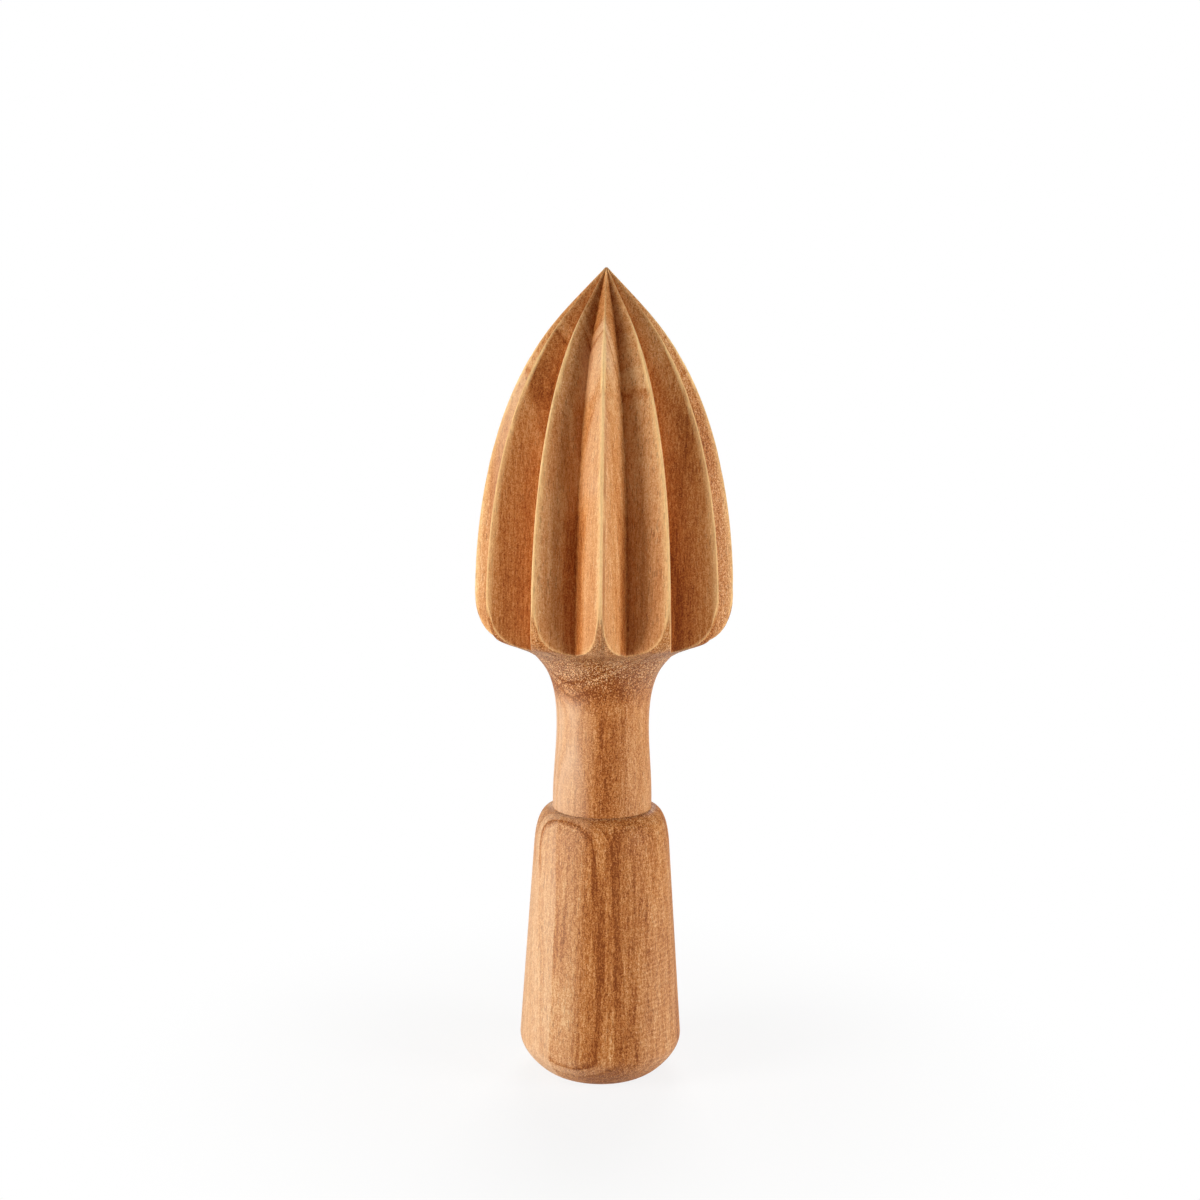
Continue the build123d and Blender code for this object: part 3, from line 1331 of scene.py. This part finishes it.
    def chips(self, azimuth: np.ndarray, height: np.ndarray, outer: np.ndarray) -> np.ndarray:
        """How much of the turned radius small chips take, different ones along each ridge.

        Args:
            azimuth: angle of each column round the axis.
            height: height of each place.
            outer: turned radius of each place.

        Returns:
            The loss of radius.
        """
        ridge = np.round((azimuth + math.pi / 2) / (2 * self.half_pitch)).astype(int) % self.flute_count
        worn = wander(height + self.ridge_offset * ridge, self.chip_seed, self.chip_waves, self.chip_length)
        return self.chip_depth * ramp(worn, *self.chip_edge) * ramp(outer, *self.chip_radii)

    def cut(self, outer: np.ndarray, bottom: np.ndarray, near: np.ndarray) -> np.ndarray:
        """Radius of each place once the flutes are cut.

        In words: the smaller one of the turned radius and the flute's wall, joined by a soft corner: half
        of their sum, less half of the root of their difference squared plus the softness squared. Close
        to the tip it is never above the turned radius, and the tip is at 0.

        Args:
            outer: turned radius.
            bottom: radius of the flute's bottom line.
            near: angle from the middle of the flute.

        Returns:
            The radii.
        """
        wall = bottom / (np.cos(near) - np.sqrt(np.sin(near) ** 2 + self.bottom_softness ** 2))
        radius = 0.5 * (outer + wall - np.sqrt((outer - wall) ** 2 + self.edge_softness ** 2))
        radius = np.where(outer < self.plain_radius, np.minimum(outer, radius.clip(0)), radius)
        radius[-1] = 0.0
        return radius

    def marks(
        self, outer: np.ndarray, bottom: np.ndarray, radius: np.ndarray, height: np.ndarray, near: np.ndarray,
    ) -> dict[str, np.ndarray]:
        """What the finish reads from the head's mesh.

        In words: a ridge's worn edge, with its painted highlight, falls off from the edge as a bell curve.
        Beside a broad ridge it reaches a share of its strength, and on the top of a narrow one it is whole.
        The painted light on a wall falls off in the same way, over a share of the radius, and only below
        its own edge of heights. The hollow grows evenly from a flute's edge to its bottom.

        Args:
            outer: turned radius.
            bottom: radius of the flute's bottom line.
            radius: radius once the flutes are cut.
            height: height of each place.
            near: angle from the middle of the flute.

        Returns:
            By name: ridges' worn edges with a painted highlight, the flute hollow and a wall's painted light.
        """
        away, reach = np.abs(near), np.maximum(self.reach(bottom, outer), 0)
        fluted = ramp(height, self.collar[1], self.collar[1] + self.mark_rise) * (reach > 0)
        to_edge = np.abs(away - reach) * radius
        narrow = np.clip(1 - (self.half_pitch - reach) * radius / self.crest_width, 0, 1)
        crest = narrow * (away > reach)
        wear_and_highlight = np.exp(-(to_edge / self.wear_and_highlight_width) ** 2) * (self.wear_and_highlight_share + (1 - self.wear_and_highlight_share) * crest)
        band = np.maximum(self.wall_light_share * outer, self.least_band)
        painted_wall_light = np.exp(-(to_edge / band) ** 2) * np.clip(2 * narrow, 0, 1) * ramp(height, *self.wall_light_edge)
        hollow = 1 - np.clip(away / np.maximum(reach, self.least_reach), 0, 1)
        return {
            "ridge": np.maximum(wear_and_highlight, crest) * fluted,
            "hollow": hollow * fluted,
            "painted_wall_light": painted_wall_light * (away < reach) * fluted,
        }

    def grid(self) -> tuple[np.ndarray, dict[str, np.ndarray]]:
        """The whole piece as one grid: the neck's rows below, the head's with their flutes above.

        Returns:
            Places as rows by columns by three, and what the finish reads, by name.
        """
        turned, root = self.turned_outline(), self.root_line()
        angles, leave = self.half_flute(turned, root)
        half = np.concatenate([-angles[:0:-1], angles[:-1]])
        starts = 2 * self.half_pitch * np.arange(self.flute_count) + self.half_pitch - math.pi / 2
        azimuth = (starts[:, None] + half).ravel()
        near = np.tile(half, self.flute_count)
        leave = np.tile(np.concatenate([leave[:0:-1], leave[:-1]]), self.flute_count)

        outer, height = self.turned_rows(turned, leave)
        outer = outer - self.chips(azimuth, height, outer)
        bottom = np.interp(height, root[:, 1], root[:, 0])
        radius = self.cut(outer, bottom, near)
        marks = self.marks(outer, bottom, radius, height, near)

        neck = self.neck()
        blank = np.zeros((len(neck), len(azimuth)))
        radius = np.concatenate([neck[:, :1] + blank, radius])
        height = np.concatenate([neck[:, 1:] + blank, height])
        marks = {name: np.concatenate([blank, values]) for name, values in marks.items()}
        return turned_grid(radius, azimuth, height), marks

    def build(self) -> bpy.types.Object:
        """Makes the mesh from the grid, stores what the finish reads and dresses it.

        Returns:
            The head with its neck.
        """
        places, marks = self.grid()
        piece = closed_grid("fluted_head_and_neck", places)
        mark_across(piece)
        for name, values in marks.items():
            mark_grid(piece, name, values)
        piece.data.materials.append(self.finish.build("oiled_wood_head", with_flutes=True))
        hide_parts("fluted_head")
        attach(piece, "root")
        return piece


# The studio

def direction(azimuth: float, elevation: float) -> Vector:
    """Unit vector away from the reamer: azimuth 0 is the front, and it grows towards +X."""
    side, up = math.radians(azimuth), math.radians(elevation)
    return Vector((math.sin(side) * math.cos(up), -math.cos(side) * math.cos(up), math.sin(up)))


@dataclass(frozen=True)
class SoftBox:
    """A soft rectangular lamp: where it hangs round the reamer, how large it is in metres and its power."""

    name: str
    azimuth: float
    elevation: float
    distance: float
    width: float
    height: float
    power: float
    colour: Triple = (1.0, 1.0, 1.0)

    def build(self, aim: Vector) -> bpy.types.Object:
        """Hangs the lamp.

        Args:
            aim: the place that it faces.

        Returns:
            The lamp.
        """
        light = bpy.data.lights.new(self.name, "AREA")
        light.shape = "RECTANGLE"
        light.size, light.size_y = self.width, self.height
        light.energy, light.color = self.power, self.colour
        lamp = bpy.data.objects.new(self.name, light)
        away = direction(self.azimuth, self.elevation)
        lamp.location = aim + away * self.distance
        lamp.rotation_euler = away.to_track_quat("Z", "Y").to_euler()
        bpy.context.scene.collection.objects.link(lamp)
        return lamp


@dataclass(frozen=True)
class Studio:
    """White floor and backdrop, soft lamps and the camera of the photograph.

    The lamps are strong ones far to the left and right, weak high ones, and one behind for the back. The
    camera's distance and aim are millimetres, its clipping and the floor's radius metres.
    """

    focal_pixels: float = 1697.0
    image_pixels: float = 1200.0
    sensor_width: float = 36.0
    distance: float = 345.4
    aim_height: float = 99.22
    aim_side: float = -0.76
    azimuth: float = 1.6
    elevation: float = 8.2
    roll: float = 0.45
    clipping: Point = (0.01, 10.0)
    fill: float = 0.04
    floor_radius: float = 1.2
    floor_rings: int = 12
    floor_columns: int = 96
    lamps: tuple[SoftBox, ...] = (
        SoftBox("lamp_left", -63.0, 5.0, 0.60, 0.24, 0.26, 3.55),
        SoftBox("lamp_right", 67.0, 5.0, 0.60, 0.22, 0.26, 3.05),
        SoftBox("lamp_high_left", -56.0, 42.0, 0.60, 0.24, 0.40, 0.35, (1.0, 0.92, 0.82)),
        SoftBox("lamp_high_front", 8.0, 55.0, 0.60, 0.24, 0.40, 0.15, (1.0, 0.85, 0.68)),
        SoftBox("lamp_behind", 176.0, 34.0, 0.60, 0.30, 0.40, 2.40),
    )

    def floor(self) -> bpy.types.Object:
        """Round floor as a grid of rings whose radii grow evenly.

        Returns:
            The floor.
        """
        radius = np.linspace(0, self.floor_radius, self.floor_rings + 1)[1:, None]
        angle = np.linspace(0, 2 * np.pi, self.floor_columns, endpoint=False)
        flat = turned_grid(radius, angle, 0.0)
        places = np.concatenate([np.zeros((1, 3)), flat.reshape(-1, 3)])
        index = 1 + np.arange(flat.shape[0] * flat.shape[1]).reshape(flat.shape[:2])
        turned = np.roll(index, -1, axis=1)
        quads = np.stack([index[:-1], index[1:], turned[1:], turned[:-1]], axis=-1).reshape(-1, 4)
        middle = np.stack([np.zeros(self.floor_columns, int), index[0], turned[0]], axis=-1)
        floor = linked("studio_floor", places, (quads, middle))
        floor.data.materials.append(StudioWhite().build("studio_white"))
        return floor

    def world(self) -> None:
        """Soft fill from all round, seen as plain white by the camera."""
        world = bpy.data.worlds.new("studio_world")
        world.use_nodes = True
        world.node_tree.nodes.clear()
        shader = Shader(world.node_tree)
        seen = shader.node("ShaderNodeLightPath", {}, {}, "Is Camera Ray")
        strength = seen * (1.0 - self.fill) + self.fill
        white = {"Color": (1.0, 1.0, 1.0, 1.0), "Strength": strength}
        shader.node("ShaderNodeOutputWorld", {}, {"Surface": shader.node("ShaderNodeBackground", {}, white)})
        bpy.context.scene.world = world

    def camera(self) -> bpy.types.Object:
        """The photograph's camera: close, a little above the head's middle and hardly turned.

        Returns:
            The camera, which the scene uses.
        """
        lens = bpy.data.cameras.new("photo_camera")
        lens.sensor_width = self.sensor_width
        lens.lens = self.focal_pixels / self.image_pixels * self.sensor_width
        lens.clip_start, lens.clip_end = self.clipping
        camera = bpy.data.objects.new("photo_camera", lens)
        away = direction(self.azimuth, self.elevation)
        across = Vector((0, 0, 1)).cross(away).normalized()
        aim = Vector((0.0, 0.0, self.aim_height * METRES)) + across * (self.aim_side * METRES)
        turn = away.to_track_quat("Z", "Y").to_matrix().to_4x4()
        camera.matrix_world = (
            Matrix.Translation(aim + away * (self.distance * METRES)) @ turn
            @ Matrix.Rotation(math.radians(self.roll), 4, "Z")
        )
        bpy.context.scene.collection.objects.link(camera)
        bpy.context.scene.camera = camera
        return camera

    def build(self) -> None:
        """Sets up the floor, the world, the lamps and the camera."""
        self.floor()
        self.world()
        aim = Vector((0.0, 0.0, 0.5 * (CAD_BOX[0][2] + CAD_BOX[1][2])))
        for box in self.lamps:
            box.build(aim)
        self.camera()
        bpy.context.scene.view_settings.view_transform = "Standard"


def main() -> None:
    """Builds the pieces and the studio in order and reports each piece."""
    logging.basicConfig(level=logging.INFO, format="%(message)s")
    wood = Fruitwood()
    for maker in (Handle(wood), FlutedHead(wood)):
        piece = maker.build()
        LOG.info("%s: %d faces", piece.name, len(piece.data.polygons))
    Studio().build()


if __name__ == "__main__":
    main()
